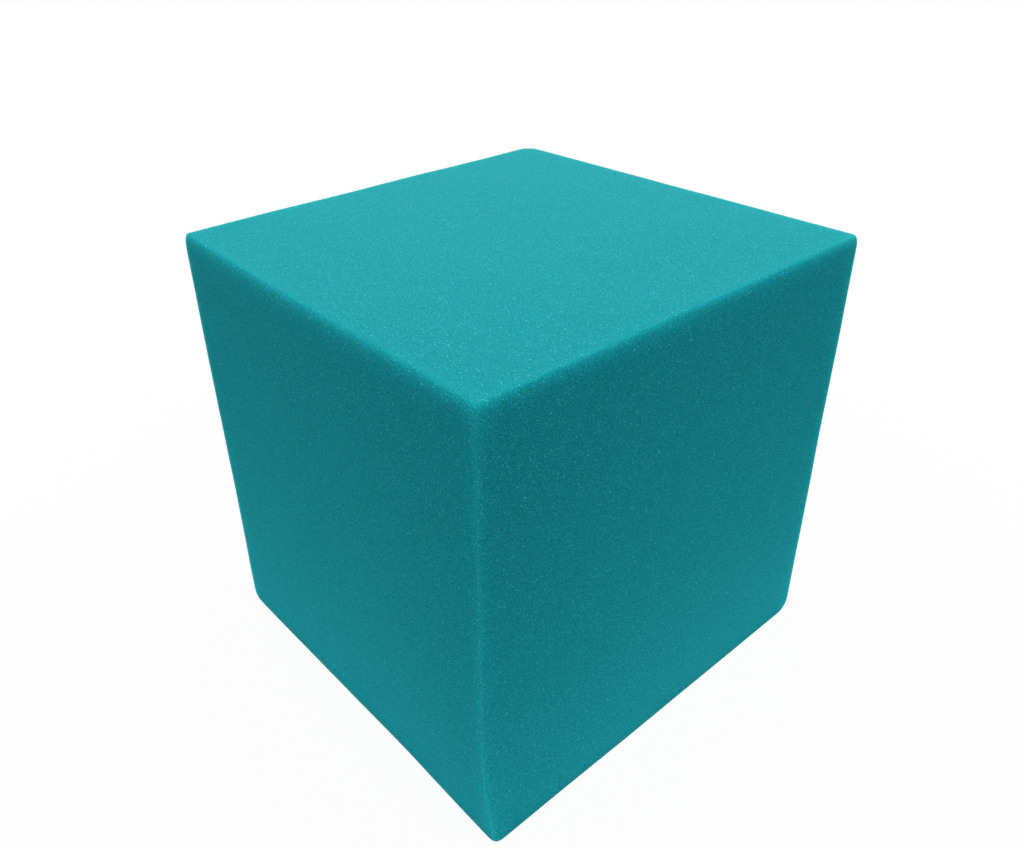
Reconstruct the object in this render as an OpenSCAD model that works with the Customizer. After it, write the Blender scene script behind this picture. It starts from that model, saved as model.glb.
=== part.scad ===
// Block of soft foam, cut as one rectangular piece with flat faces.
// Every edge is rounded to one radius, and at each corner the rounding is part of a ball.
// X is the width, Y the depth and Z the height. The base lies on Z = 0, centred on the origin.

/* [Block] */
// Width of the block
block_w = 196; // [50:1:400]
// Depth of the block
block_d = 198; // [50:1:400]
// Height of the block
block_h = 200; // [50:1:400]

/* [Edges] */
// Radius of the rounding along the edges and at the corners
edge_r = 2.5; // [0.5:0.5:20]

/* [Quality] */
// Facets round a full circle of the rounding
edge_facets = 64; // [24:8:128]

/* [Hidden] */
// Teal of the foam
foam_colour = [0.18, 0.66, 0.69];
// Sides of the core, whose edges are the centre lines of the rounding
core_w = block_w - 2 * edge_r;
core_d = block_d - 2 * edge_r;
core_h = block_h - 2 * edge_r;
// The two ends of a centred length, as signs
ends = [-1, 1];

// Outline about its own middle, with a rounded corner at each end of a core of the given sides
module round_rect(core_x, core_y) {
    square([core_x + 2 * edge_r, core_y], center = true);
    square([core_x, core_y + 2 * edge_r], center = true);
    for (x = ends, y = ends)
        translate([x * core_x / 2, y * core_y / 2])
            circle(r = edge_r, $fn = edge_facets);
}

// Slab across the width, from one row of upright edges to the other, with its long edges rounded
module slab_across_width() {
    rotate([90, 0, 90])
        linear_extrude(height = core_w, center = true)
            round_rect(core_d, core_h);
}

// Slab across the depth, which crosses the first one
module slab_across_depth() {
    rotate([90, 0, 0])
        linear_extrude(height = core_d, center = true)
            round_rect(core_w, core_h);
}

// Upright edge: a round bar with a ball at its foot and its head
module upright_edge() {
    cylinder(h = core_h, r = edge_r, center = true, $fn = edge_facets);
    for (z = ends)
        translate([0, 0, z * core_h / 2])
            sphere(r = edge_r, $fn = edge_facets);
}

// Whole block, resting on its base
module foam_block() {
    color(foam_colour)
        translate([0, 0, block_h / 2]) {
            slab_across_width();
            slab_across_depth();
            for (x = ends, y = ends)
                translate([x * core_w / 2, y * core_d / 2, 0])
                    upright_edge();
        }
}

foam_block();
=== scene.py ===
"""Looks of a cut block of teal foam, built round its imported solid.

The block is one soft piece. Its mesh starts as a box with rounded edges, as the solid has it. The
mesh is then put a little out of true, the way a blade leaves soft foam, and its faces are made
faintly uneven. The finish makes the fine open cells. The studio is a white surface under broad
soft lamps, seen from close by and above, as the photograph shows the block.
"""

import logging
import math
from dataclasses import dataclass, field
from enum import Enum

import bpy
import numpy as np
from mathutils import Matrix, Vector


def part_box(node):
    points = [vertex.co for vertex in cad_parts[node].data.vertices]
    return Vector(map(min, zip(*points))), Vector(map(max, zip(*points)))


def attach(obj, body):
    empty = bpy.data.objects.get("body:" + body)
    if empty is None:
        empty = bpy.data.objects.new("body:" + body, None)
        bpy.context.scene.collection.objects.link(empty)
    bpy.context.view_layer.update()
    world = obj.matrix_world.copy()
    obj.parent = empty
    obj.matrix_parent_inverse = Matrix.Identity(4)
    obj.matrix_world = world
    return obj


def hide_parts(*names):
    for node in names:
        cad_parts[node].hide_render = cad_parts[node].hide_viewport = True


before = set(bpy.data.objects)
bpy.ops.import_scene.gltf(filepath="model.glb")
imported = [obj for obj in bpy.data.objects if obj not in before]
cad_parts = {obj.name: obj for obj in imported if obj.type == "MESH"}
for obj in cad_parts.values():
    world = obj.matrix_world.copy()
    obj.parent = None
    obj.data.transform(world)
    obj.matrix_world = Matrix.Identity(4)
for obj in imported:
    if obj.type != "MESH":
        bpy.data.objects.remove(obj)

LOG = logging.getLogger("foam_block")
MM = 0.001
TINY = 1e-12
WHITE = (1.0, 1.0, 1.0, 1.0)


class Upright(Enum):
    """The four upright edges, each by its side along X and its side along Y."""

    LEFT = (-1, -1)
    NEAR = (1, -1)
    RIGHT = (1, 1)
    BACK = (-1, 1)


@dataclass(frozen=True)
class Lean:
    """How far the two ends of an upright edge stand from true, in millimetres.

    Args:
        foot: Shift of the lower end along X and Y. It stays on the surface below.
        head: Shift of the upper end along X, Y and Z.
    """

    foot: tuple[float, float]
    head: tuple[float, float, float]


@dataclass(frozen=True)
class Rim:
    """How the level edges at one end of the block are rounded, in millimetres.

    Args:
        inward: How far the rounding reaches in over the end face.
        along: How far it reaches along the side faces.
    """

    inward: float
    along: float


@dataclass(frozen=True)
class Wear:
    """How one corner is rubbed off, in millimetres.

    Args:
        upright: The upright edge that the corner ends.
        end: -1 for its foot and 1 for its head.
        cut: Length that the wear has taken from each of the corner's three edges.
        soft: How gently the worn part turns into the faces round it.
    """

    upright: Upright
    end: int
    cut: float
    soft: float


@dataclass(frozen=True)
class Dent:
    """A place where a face is pressed in or stands out a little.

    Args:
        place: Its middle, from -1 at one side of the block to 1 at the other along X, Y and Z.
        push: How far its middle has moved along X and Y, in millimetres.
        reach: Distance over which that fades, in millimetres.
    """

    place: tuple[float, float, float]
    push: tuple[float, float]
    reach: float


@dataclass(frozen=True)
class Ripple:
    """One scale of unevenness over the cut faces, in millimetres.

    Args:
        length: Distance from one swell to the next.
        height: Usual height of a swell above or below the face.
    """

    length: float
    height: float


@dataclass(frozen=True)
class EdgeBow:
    """The slow curve of one upright edge towards the face on its left, in millimetres.

    Args:
        edge: The upright edge that curves.
        depth: How far it stands off a straight edge where it curves most.
        low: Height at which it curves most.
        high: Height at which it is straight again.
        reach: Distance from the edge over which the two faces follow it.
        fullness: Power on the curve's upper part, fuller below 1 and slacker above 1.
    """

    edge: Upright
    depth: float
    low: float
    high: float
    reach: float
    fullness: float = 0.8

    def at(self, height: np.ndarray) -> np.ndarray:
        """Gives the depth of the curve at each height.

        Args:
            height: Heights above the base, in metres.

        Returns:
            How far the edge stands off a straight one, in metres.
        """
        below = np.sin(0.5 * math.pi * np.clip(height / (self.low * MM), 0, 1))
        rise = np.clip((height / MM - self.low) / (self.high - self.low), 0, 1)
        above = (0.5 + 0.5 * np.cos(math.pi * rise)) ** self.fullness
        return self.depth * MM * np.where(height < self.low * MM, below, above)


class NodeBoard:
    """Places the nodes of one material and joins them up."""

    def __init__(self, tree: bpy.types.NodeTree) -> None:
        """Empties a node tree and keeps it.

        Args:
            tree: The tree of a material or of the world.
        """
        self.tree = tree
        tree.nodes.clear()

    def add(self, kind: str, inputs: dict | None = None, **settings: object) -> bpy.types.Node:
        """Places one node.

        Args:
            kind: The node's type, without the words that every shader node's type starts with.
            inputs: For each input by its name or number, a socket to join to it or a plain value.
            settings: Other properties of the node.

        Returns:
            The new node.
        """
        node = self.tree.nodes.new("ShaderNode" + kind)
        for name, value in settings.items():
            setattr(node, name, value)
        for name, value in (inputs or {}).items():
            if isinstance(value, bpy.types.NodeSocket):
                self.tree.links.new(value, node.inputs[name])
            else:
                node.inputs[name].default_value = value
        return node

    def math(self, operation: str, *values: object) -> bpy.types.NodeSocket:
        """Places a Math node.

        Args:
            operation: What the node works out.
            values: For each of its inputs, a socket to join to it or a plain number.

        Returns:
            The node's result.
        """
        return self.add("Math", dict(enumerate(values)), operation=operation).outputs[0]

    def ramp(self, value: object, low: float, high: float, first: float = 0.0, last: float = 1.0,
             smooth: bool = False) -> bpy.types.NodeSocket:
        """Maps a value from one range to another.

        Args:
            value: The socket to map.
            low: Value that gives first.
            high: Value that gives last.
            first: Result at low.
            last: Result at high.
            smooth: Whether the result eases in and out.

        Returns:
            The mapped value.
        """
        inputs = {"Value": value, "From Min": low, "From Max": high, "To Min": first, "To Max": last}
        kind = "SMOOTHSTEP" if smooth else "LINEAR"
        return self.add("MapRange", inputs, interpolation_type=kind).outputs["Result"]

    def noise(self, where: bpy.types.NodeSocket, length: float,
              detail: float) -> bpy.types.NodeSocket:
        """Places a cloudy pattern.

        Args:
            where: The place at which it is read, in metres.
            length: Distance from one cloud to the next, in metres.
            detail: Number of finer clouds within a cloud.

        Returns:
            The pattern's value, from 0 to 1.
        """
        inputs = {"Vector": where, "Scale": 1 / length, "Detail": detail}
        return self.add("TexNoise", inputs).outputs[0]

    def blend(self, share: object, one: object, other: object) -> bpy.types.NodeSocket:
        """Mixes two colours.

        Args:
            share: How much of the other colour there is, from 0 to 1.
            one: Colour at 0.
            other: Colour at 1.

        Returns:
            The mixed colour.
        """
        node = self.add("Mix", {0: share, 6: one, 7: other}, data_type="RGBA")
        return node.outputs[2]


@dataclass(frozen=True)
class TealFoam:
    """Finish of soft open-cell foam, dyed teal all through.

    Args:
        teal: Usual colour of a cut face.
        painted_glint: Colour of the painted highlight that lifts a few cells, standing in for cell
        films that would catch the light.
        fuzz: Colour of the fine broken struts, which light up where the face is seen at a slant.
        clump: Distance from one clump of cut cells to the next, in metres.
        side_grain_and_shade_depth: How much darker or lighter than a side face a clump can be, as a
            share. It is more than on the top because painted shade of the cell pits, as side light
            would show it, is added to the grain.
        top_depth: The same for the top and the base, where no painted shade is added to the grain.
        level_from: How far upward or downward a face looks, from 0 to 1, where the painted shade in
            its grain starts to fade.
        level_to: How far it looks so where its grain carries no painted shade, as on the top.
        cloud: Distance from one faint cloud in the colour to the next, in metres.
        cloud_depth: How much darker or lighter than the face a cloud can be, as a share.
        cloud_detail: Number of finer clouds within a cloud.
        cell: Usual width of a cell, in metres.
        painted_glint_share: Share of the cells that get a painted highlight where their film would
            catch the light.
        painted_glint_strength: How much of the highlight's colour the brightest of them shows, from
            0 to 1.
        turn: How the grain's own axes are turned, in radians, so that no face runs along them.
        depth_of_light: How far light travels inside the foam, in metres.
        scatter: Share of that distance for red, green and blue light.
        relief: Height from the bottom of a cut cell to its rim, in metres.
        pit: Value of the grain at the bottom of a cell.
        brim: Value of the grain at its rim.
        pit_roughness: Roughness at the bottom of a cell.
        brim_roughness: Roughness at its rim, which the blade has smoothed a little.
        gloss: Level of the plain reflection, with 0.5 for an ordinary plastic.
        sheen: Strength of the glow of the fine struts.
        sheen_roughness: How widely that glow spreads.
        fray_and_highlight_colour: Colour along the middle of an upright edge, a touch redder and
        less saturated: partly broken struts, partly a painted highlight of the whitish
        reflection along the edge.
    """

    teal: tuple[float, float, float] = (0.0056, 0.3885, 0.4515)
    painted_glint: tuple[float, float, float, float] = (0.120, 1.000, 1.000, 1.0)
    fuzz: tuple[float, float, float, float] = (0.020, 0.900, 1.000, 1.0)
    clump: float = 0.36 * MM
    side_grain_and_shade_depth: float = 0.80
    top_depth: float = 0.62
    level_from: float = 0.05
    level_to: float = 0.50
    cloud: float = 9.0 * MM
    cloud_depth: float = 0.04
    cloud_detail: float = 3.0
    cell: float = 0.36 * MM
    painted_glint_share: float = 0.030
    painted_glint_strength: float = 0.75
    turn: tuple[float, float, float] = (0.60, 0.35, 0.80)
    depth_of_light: float = 20.0 * MM
    scatter: tuple[float, float, float] = (0.3, 1.0, 1.0)
    relief: float = 0.10 * MM
    pit: float = 0.3
    brim: float = 0.7
    pit_roughness: float = 0.86
    brim_roughness: float = 0.72
    gloss: float = 0.155
    sheen: float = 0.10
    sheen_roughness: float = 0.7
    fray_and_highlight_colour: tuple[float, float, float, float] = (0.0146, 0.380, 0.4445, 1.0)

    def material(self) -> bpy.types.Material:
        """Makes the material.

        Returns:
            The new material.
        """
        made = bpy.data.materials.new("teal_foam")
        made.use_nodes = True
        board = NodeBoard(made.node_tree)
        where = board.add("TexCoord").outputs["Object"]
        facing = board.add("SeparateXYZ", {0: board.add("TexCoord").outputs["Normal"]}).outputs["Z"]
        turned = board.add("Mapping", {"Vector": where, "Rotation": self.turn}).outputs[0]
        clumps = board.noise(turned, self.clump, 0.0)
        clouds = board.noise(where, self.cloud, self.cloud_detail)
        # Grain is stronger on faces that look sideways: painted shade of the cell pits, as side
        # light would show it, added to the real grain.
        depth = board.ramp(board.math("ABSOLUTE", facing), self.level_from, self.level_to,
                           self.side_grain_and_shade_depth, self.top_depth, smooth=True)
        tone_and_painted_shade = board.math("MULTIPLY_ADD", board.ramp(clumps, 0, 1, -1, 1), depth, 1.0)
        clouds = board.ramp(clouds, 0, 1, 1 - self.cloud_depth, 1 + self.cloud_depth)
        tone_and_painted_shade = board.math("MULTIPLY", tone_and_painted_shade, clouds)
        # Along the middle of each upright edge the colour turns redder and less saturated: partly
        # broken struts, partly a painted highlight of the edge's whitish reflection.
        fray_and_highlight = board.add("Attribute", attribute_name="fray_and_highlight").outputs["Fac"]
        dye_with_edge_highlight = board.blend(fray_and_highlight, (*self.teal, 1.0), self.fray_and_highlight_colour)
        base = board.add("VectorMath", {0: dye_with_edge_highlight, "Scale": tone_and_painted_shade}, operation="SCALE").outputs[0]
        # A few cells get a painted highlight: their colour is lifted towards a pale teal, as if
        # their films caught the light.
        cells = board.add("TexVoronoi", {"Vector": turned, "Scale": 1 / self.cell}, feature="F1")
        kind = board.add("SeparateColor", {"Color": cells.outputs["Color"]}).outputs[1]
        painted_glint = board.ramp(kind, 1 - self.painted_glint_share, 1, 0, self.painted_glint_strength)
        base = board.blend(painted_glint, base, self.painted_glint)
        relief = board.add("Bump", {"Height": clumps, "Strength": 1.0, "Distance": self.relief})
        rough = board.ramp(clumps, self.pit, self.brim, self.pit_roughness, self.brim_roughness)
        shader = board.add("BsdfPrincipled", {
            "Base Color": base,
            "Roughness": rough,
            "Normal": relief.outputs[0],
            "Specular IOR Level": self.gloss,
            "Subsurface Weight": 1.0,
            "Subsurface Radius": self.scatter,
            "Subsurface Scale": self.depth_of_light,
            "Sheen Weight": self.sheen,
            "Sheen Roughness": self.sheen_roughness,
            "Sheen Tint": self.fuzz,
        })
        board.add("OutputMaterial", {"Surface": shader.outputs["BSDF"]})
        return made


@dataclass(frozen=True)
class WhiteSurface:
    """Finish of the white surface under the block.

    Args:
        reflectance: Share of the light that the surface gives back onto the block, close to it.
        full: Distance from the block's middle at which that share starts to fade, in metres.
        reach: Distance at which it has faded away, in metres.
        shadow: How much of the block's shadow the camera sees, from 0 to 1.
        shadow_full: Distance from the block's middle at which that starts to fade, in metres.
        shadow_reach: Distance at which it has faded away, in metres.
    """

    reflectance: float = 0.98
    full: float = 0.05
    reach: float = 0.51
    shadow: float = 0.05
    shadow_full: float = 0.12
    shadow_reach: float = 0.45

    def material(self) -> bpy.types.Material:
        """Makes the material.

        Returns:
            The new material.
        """
        made = bpy.data.materials.new("white_surface")
        made.use_nodes = True
        board = NodeBoard(made.node_tree)
        where = board.add("TexCoord").outputs["Object"]
        off = board.add("VectorMath", {0: where}, operation="LENGTH").outputs["Value"]
        seen = seen_straight(board)
        given = board.ramp(off, self.full, self.reach, self.reflectance, 0, smooth=True)
        card = board.add("Mix", {0: seen, 2: given, 3: 1.0}).outputs[0]
        card = board.add("BsdfDiffuse", {"Color": card}).outputs[0]
        white = board.add("Emission", {"Color": WHITE, "Strength": 1.0}).outputs[0]
        share = board.ramp(off, self.shadow_full, self.shadow_reach, 1 - self.shadow, 1, smooth=True)
        share = board.math("MULTIPLY", seen, share)
        shader = board.add("MixShader", {0: share, 1: card, 2: white}).outputs[0]
        board.add("OutputMaterial", {"Surface": shader})
        return made


def seen_straight(board: NodeBoard) -> bpy.types.NodeSocket:
    """Tells the rays that show a backdrop from those that light the block.

    Args:
        board: The board of the backdrop's material or of the world.

    Returns:
        1 for rays from the camera, a mirror or a glass, and 0 for the rest.
    """
    ray = board.add("LightPath").outputs
    mirrored = board.math("MAXIMUM", ray["Is Glossy Ray"], ray["Is Transmission Ray"])
    return board.math("MAXIMUM", ray["Is Camera Ray"], mirrored)


@dataclass
class FoamBlock:
    """The block itself: a rounded box, a little out of true and faintly uneven.

    Args:
        low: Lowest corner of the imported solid, in metres.
        high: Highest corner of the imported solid, in metres.
        top: How the edges of the top are rounded. They are softest down the side faces.
        left_top: The same for the edge of the top that runs left from the nearest corner.
        base: How the edges of the base are rounded.
        uprights: Radius of each upright edge, in millimetres.
        flat_cells: Mesh cells across the flat part of a face.
        round_cells: Mesh cells from the end of the flat part to the middle of the rounding.
        leans: How each upright edge stands from true.
        bow: The curve of the nearest upright edge.
        wear: The corners that are rubbed off.
        dents: The places where a face is pressed in or stands out.
        ripples: The scales of unevenness over the faces.
        finish: The foam's finish.
    """

    low: Vector
    high: Vector
    top: Rim = Rim(inward=1.2, along=5.0)
    left_top: Rim = Rim(inward=2.1, along=6.8)
    base: Rim = Rim(inward=1.8, along=1.8)
    uprights: dict[Upright, float] = field(default_factory=lambda: {
        Upright.LEFT: 1.6,
        Upright.NEAR: 0.8,
        Upright.RIGHT: 1.8,
        Upright.BACK: 4.0,
    })
    flat_cells: int = 116
    round_cells: int = 6
    leans: dict[Upright, Lean] = field(default_factory=lambda: {
        Upright.LEFT: Lean(foot=(0.5, -0.75), head=(0.6, 2.15, 0.15)),
        Upright.NEAR: Lean(foot=(-0.3, 0.0), head=(-0.4, -0.7, 0.5)),
        Upright.RIGHT: Lean(foot=(-0.9, 0.3), head=(0.5, 0.45, 0.4)),
        Upright.BACK: Lean(foot=(0.0, 0.0), head=(0.3, 0.5, -0.1)),
    })
    bow: EdgeBow = EdgeBow(Upright.NEAR, depth=3.4, low=42, high=190, reach=55)
    wear: tuple[Wear, ...] = (
        Wear(Upright.LEFT, -1, cut=4.2, soft=0.9),
        Wear(Upright.NEAR, -1, cut=3.2, soft=0.8),
        Wear(Upright.RIGHT, -1, cut=5.2, soft=1.2),
        Wear(Upright.RIGHT, 1, cut=2.7, soft=0.8),
        Wear(Upright.BACK, 1, cut=4.4, soft=1.2),
    )
    dents: tuple[Dent, ...] = (
        Dent(place=(0.3, -1, -1), push=(0, 0.6), reach=36),
        Dent(place=(1, -0.75, 1), push=(-0.35, 0), reach=28),
        Dent(place=(-0.2, -1, 1), push=(0, -0.95), reach=70),
    )
    ripples: tuple[Ripple, ...] = (Ripple(70, 0.08), Ripple(22, 0.02), Ripple(7, 0.005))
    finish: TealFoam = TealFoam()

    @property
    def half(self) -> np.ndarray:
        """Half of the block's width, depth and height, in metres."""
        return np.array(self.high - self.low) / 2

    @property
    def middle(self) -> np.ndarray:
        """Middle of the block, in metres."""
        return np.array(self.high + self.low) / 2

    def lattice(self) -> tuple[np.ndarray, np.ndarray]:
        """Cuts the surface of a cube into square cells.

        Returns:
            The cell corners as whole steps from one face to the opposite one, and for each cell
            the numbers of its four corners, anticlockwise from outside.
        """
        steps = self.flat_cells + 2 * self.round_cells
        first, second = (g.ravel() for g in np.meshgrid(np.arange(steps), np.arange(steps)))
        around = ((0, 0), (1, 0), (1, 1), (0, 1))
        faces = []
        for axis in range(3):
            for end in (0, steps):
                face = np.empty((steps * steps, 4, 3), np.int64)
                face[..., axis] = end
                for corner, (along, across) in enumerate(around):
                    face[:, corner, (axis + 1) % 3] = first + along
                    face[:, corner, (axis + 2) % 3] = second + across
                faces.append(face if end else face[:, ::-1])
        every = np.concatenate(faces).reshape(-1, 3)
        corners, numbers = np.unique(every, axis=0, return_inverse=True)
        return corners, numbers.reshape(-1, 4)

    def rounded(self, corners: np.ndarray) -> tuple[np.ndarray, np.ndarray]:
        """Lays the lattice over the box with rounded edges.

        Args:
            corners: The lattice's corners in whole steps.

        Returns:
            The points in metres about the block's middle, and the outward direction at each.
        """
        across = corners - self.flat_cells / 2 - self.round_cells
        flat = np.clip(across / (self.flat_cells / 2), -1, 1)
        past = np.clip(np.abs(across) - self.flat_cells / 2, 0, None) / self.round_cells
        outward = np.sign(across) * np.tan(past * math.pi / 4)
        outward /= np.linalg.norm(outward, axis=1, keepdims=True)
        radius = self.upright_radius(flat)[:, None]
        inward, along = self.rims(flat, outward)
        level = np.linalg.norm(outward[:, :2], axis=1, keepdims=True)
        sides = flat[:, :2] * (self.half[:2] - inward + (inward - radius) * level)
        sides += outward[:, :2] * radius
        heights = flat[:, 2:] * (self.half[2] - along) + outward[:, 2:] * along
        return np.hstack([sides, heights]), outward

    def rims(self, flat: np.ndarray, outward: np.ndarray) -> tuple[np.ndarray, np.ndarray]:
        """Finds how the level edge that each point is nearest to is rounded.

        Args:
            flat: Places of the points, from -1 at one side of the block to 1 at the other.
            outward: The outward direction at each point.

        Returns:
            How far the rounding reaches inward along X and Y, and how far along the side face,
            in metres.
        """
        upper = flat[:, 2:] >= 0
        inward = np.repeat(np.where(upper, self.top.inward, self.base.inward), 2, axis=1)
        inward[upper[:, 0] & (flat[:, 1] < 0), 1] = self.left_top.inward
        sideways = np.maximum(np.sum(outward[:, :2] ** 2, axis=1, keepdims=True), TINY)
        leftward = np.minimum(outward[:, 1:2], 0) ** 2 / sideways
        top_along = self.top.along + (self.left_top.along - self.top.along) * leftward
        along = np.where(upper, top_along, self.base.along)
        return inward * MM, along * MM

    def upright_radius(self, flat: np.ndarray) -> np.ndarray:
        """Finds the radius of the upright edge that each point is nearest to.

        Args:
            flat: Places of the points, from -1 at one side of the block to 1 at the other.

        Returns:
            The radius at each point, in metres.
        """
        radius = np.zeros(len(flat))
        for upright, rounding in self.uprights.items():
            near = np.all((flat[:, :2] >= 0) == (np.array(upright.value) > 0), axis=1)
            radius[near] = rounding * MM
        return radius

    def leaned(self, points: np.ndarray) -> np.ndarray:
        """Finds how far the uneven cut moves each point.

        Args:
            points: Points of the true block, about its middle.

        Returns:
            The move of each point, in metres.
        """
        sides = points / self.half
        up = (sides[:, 2:] + 1) / 2
        move = np.zeros_like(points)
        for upright, lean in self.leans.items():
            share = np.prod((1 + sides[:, :2] * upright.value) / 2, axis=1, keepdims=True)
            move += share * (1 - up) * np.array([*lean.foot, 0.0]) * MM
            move += share * up * np.array(lean.head) * MM
        return move

    def bowed(self, points: np.ndarray) -> np.ndarray:
        """Finds how far the curve of the nearest upright edge moves each point.

        Args:
            points: Points of the true block, about its middle.

        Returns:
            The move of each point, in metres.
        """
        edge = np.array(self.bow.edge.value)
        off = np.linalg.norm(points[:, :2] - edge * self.half[:2], axis=1)
        depth = self.bow.at(points[:, 2] + self.half[2])
        depth *= np.exp(-(off / (self.bow.reach * MM)) ** 2)
        leftward = np.array([-1.0, -1.0, 0.0]) / math.sqrt(2)
        return depth[:, None] * leftward

    def worn(self, points: np.ndarray) -> np.ndarray:
        """Finds how far the rubbed-off corners move each point in.

        Args:
            points: Points of the true block, about its middle.

        Returns:
            The move of each point, in metres.
        """
        move = np.zeros_like(points)
        for wear in self.wear:
            corner = np.array([*wear.upright.value, wear.end])
            off = np.sum(self.half - points * corner, axis=1, keepdims=True) / MM
            taken = wear.soft * MM * np.logaddexp(0, (wear.cut - off) / wear.soft)
            move -= taken / len(corner) * corner
        return move

    def dented(self, points: np.ndarray) -> np.ndarray:
        """Finds how far the dents move each point.

        Args:
            points: Points of the true block, about its middle.

        Returns:
            The move of each point, in metres.
        """
        move = np.zeros_like(points)
        for dent in self.dents:
            off = np.linalg.norm(points - np.array(dent.place) * self.half, axis=1, keepdims=True)
            move += np.exp(-(off / (dent.reach * MM)) ** 2) * np.array([*dent.push, 0.0]) * MM
        return move

    def uneven(self, points: np.ndarray, seed: int = 7, waves: int = 24) -> np.ndarray:
        """Sums gentle waves that run all ways through the foam.

        Args:
            points: Points of the block, in metres.
            seed: Start of the random directions.
            waves: Number of waves at each scale.

        Returns:
            How far each point stands out of its face, in metres.
        """
        draw = np.random.default_rng(seed)
        rise = np.zeros(len(points))
        for ripple in self.ripples:
            ways = draw.normal(size=(waves, 3))
            ways *= 2 * math.pi / (ripple.length * MM) / np.linalg.norm(ways, axis=1, keepdims=True)
            starts = draw.uniform(0, 2 * math.pi, waves)
            for way, start in zip(ways, starts):
                rise += ripple.height * MM * math.sqrt(2 / waves) * np.sin(points @ way + start)
        return rise

    def build(self) -> bpy.types.Object:
        """Makes the mesh and dresses it.

        Returns:
            The block's object, in the row frame.
        """
        corners, cells = self.lattice()
        true, outward = self.rounded(corners)
        points = true + self.leaned(true) + self.bowed(true) + self.worn(true) + self.dented(true)
        off_base = np.clip((true[:, 2:] + self.half[2]) / (self.base.along * MM), 0, 1)
        points += self.uneven(true)[:, None] * outward * off_base
        points[:, 2] = np.maximum(points[:, 2], -self.half[2])
        mesh = bpy.data.meshes.new("foam_block_skin")
        mesh.from_pydata((points + self.middle).tolist(), [], cells.tolist())
        mesh.shade_smooth()
        mesh.update()
        # Mask of the middles of the upright edges, for the colour there: partly broken struts,
        # partly a painted highlight.
        fray_and_highlight = mesh.attributes.new("fray_and_highlight", "FLOAT", "POINT")
        fray_and_highlight.data.foreach_set("value", np.abs(2 * outward[:, 0] * outward[:, 1]))
        piece = bpy.data.objects.new("foam_block_skin", mesh)
        bpy.context.scene.collection.objects.link(piece)
        mesh.materials.append(self.finish.material())
        return piece


@dataclass(frozen=True)
class Lamp:
    """One broad soft lamp, square, aimed at a point.

    Args:
        name: Name of the lamp.
        place: Where it hangs, in metres.
        aim: The point that it faces, in metres.
        size: Length of its side, in metres.
        power: Its power, in watts.
    """

    name: str
    place: tuple[float, float, float]
    aim: tuple[float, float, float]
    size: float
    power: float

    def build(self) -> bpy.types.Object:
        """Hangs the lamp.

        Returns:
            The lamp's object.
        """
        data = bpy.data.lights.new(self.name, "AREA")
        data.shape = "SQUARE"
        data.size = self.size
        data.energy = self.power
        lamp = bpy.data.objects.new(self.name, data)
        bpy.context.scene.collection.objects.link(lamp)
        lamp.location = self.place
        away = Vector(self.aim) - Vector(self.place)
        lamp.rotation_euler = away.to_track_quat("-Z", "Y").to_euler()
        lamp.visible_camera = False
        return lamp


@dataclass(frozen=True)
class PhotoCamera:
    """The camera of the photograph: held close, above the nearest upright edge.

    Args:
        place: Where the camera is, in metres.
        aim: The point in the middle of the picture, in metres.
        roll: How far it is turned about its own axis, in degrees.
        lens: Focal length, in millimetres.
        sensor: Width of the sensor, in millimetres.
        nearest: Distance from which things are seen, in metres.
        farthest: Distance up to which things are seen, in metres.
    """

    place: tuple[float, float, float] = (0.266, -0.232, 0.326)
    aim: tuple[float, float, float] = (-0.019, 0.015, 0.095)
    roll: float = -1.2
    lens: float = 31.6
    sensor: float = 36.0
    nearest: float = 0.01
    farthest: float = 50.0

    def build(self) -> bpy.types.Object:
        """Sets the camera up and makes it the scene's own.

        Returns:
            The camera's object.
        """
        data = bpy.data.cameras.new("photo_camera")
        data.sensor_width = self.sensor
        data.lens = self.lens
        data.clip_start = self.nearest
        data.clip_end = self.farthest
        camera = bpy.data.objects.new("photo_camera", data)
        bpy.context.scene.collection.objects.link(camera)
        away = Vector(self.aim) - Vector(self.place)
        turn = away.to_track_quat("-Z", "Y").to_matrix().to_4x4()
        turn = turn @ Matrix.Rotation(math.radians(self.roll), 4, "Z")
        camera.matrix_world = Matrix.Translation(self.place) @ turn
        bpy.context.scene.camera = camera
        return camera


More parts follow.
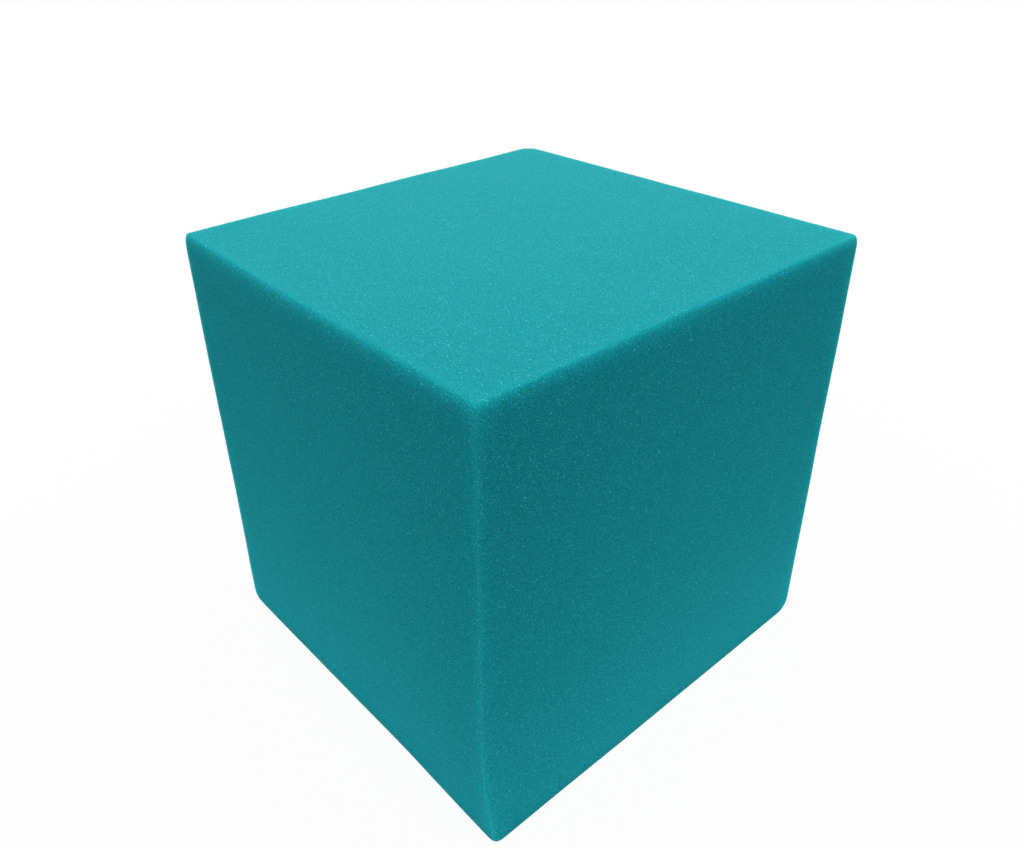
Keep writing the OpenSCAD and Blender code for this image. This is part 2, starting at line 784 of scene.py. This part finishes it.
@dataclass
class Studio:
    """The white surface, the lamps and the white room round them.

    Args:
        floor_size: Side of the white surface, in metres.
        room_light: Level of the plain light that comes from all round.
        surface: The white surface's finish.
        lamps: The lamps.
    """

    floor_size: float = 6.0
    room_light: float = 0.525
    surface: WhiteSurface = WhiteSurface()
    lamps: tuple[Lamp, ...] = (
        Lamp("overhead", place=(0.0, 0.0, 2.3), aim=(0.0, 0.0, 0.1), size=1.1, power=11.7),
        Lamp("behind", place=(0.38, 0.85, 2.1), aim=(0.0, 0.0, 0.1), size=1.1, power=3.85),
    )

    def build(self) -> bpy.types.Object:
        """Builds the studio.

        Returns:
            The floor's object.
        """
        self.room()
        for lamp in self.lamps:
            lamp.build()
            LOG.info("lamp %s: %.1f W", lamp.name, lamp.power)
        return self.floor()

    def room(self) -> None:
        """Makes the room: white to the camera, and a plain soft light on the block."""
        world = bpy.data.worlds.new("white_room")
        bpy.context.scene.world = world
        world.use_nodes = True
        board = NodeBoard(world.node_tree)
        light = board.add("Background", {"Color": WHITE, "Strength": self.room_light})
        white = board.add("Background", {"Color": WHITE, "Strength": 1.0})
        both = {0: seen_straight(board), 1: light.outputs[0], 2: white.outputs[0]}
        seen = board.add("MixShader", both).outputs[0]
        board.add("OutputWorld", {"Surface": seen})

    def floor(self) -> bpy.types.Object:
        """Lays the white surface at the height of the block's base.

        Returns:
            The floor's object.
        """
        reach = self.floor_size / 2
        mesh = bpy.data.meshes.new("white_floor")
        corners = [(-reach, -reach, 0), (reach, -reach, 0), (reach, reach, 0), (-reach, reach, 0)]
        mesh.from_pydata(corners, [], [tuple(range(len(corners)))])
        floor = bpy.data.objects.new("white_floor", mesh)
        bpy.context.scene.collection.objects.link(floor)
        mesh.materials.append(self.surface.material())
        return floor


def main() -> None:
    """Builds the block, the studio and the camera."""
    logging.basicConfig(level=logging.INFO, format="%(name)s: %(message)s")
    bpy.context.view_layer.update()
    low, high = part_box("foam_block")
    block = FoamBlock(low=Vector(low), high=Vector(high))
    piece = block.build()
    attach(piece, "root")
    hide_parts("foam_block")
    LOG.info("%s: %d faces", piece.name, len(piece.data.polygons))
    floor = Studio().build()
    PhotoCamera().build()
    bpy.context.scene.view_settings.view_transform = "Standard"


if __name__ == "__main__":
    main()
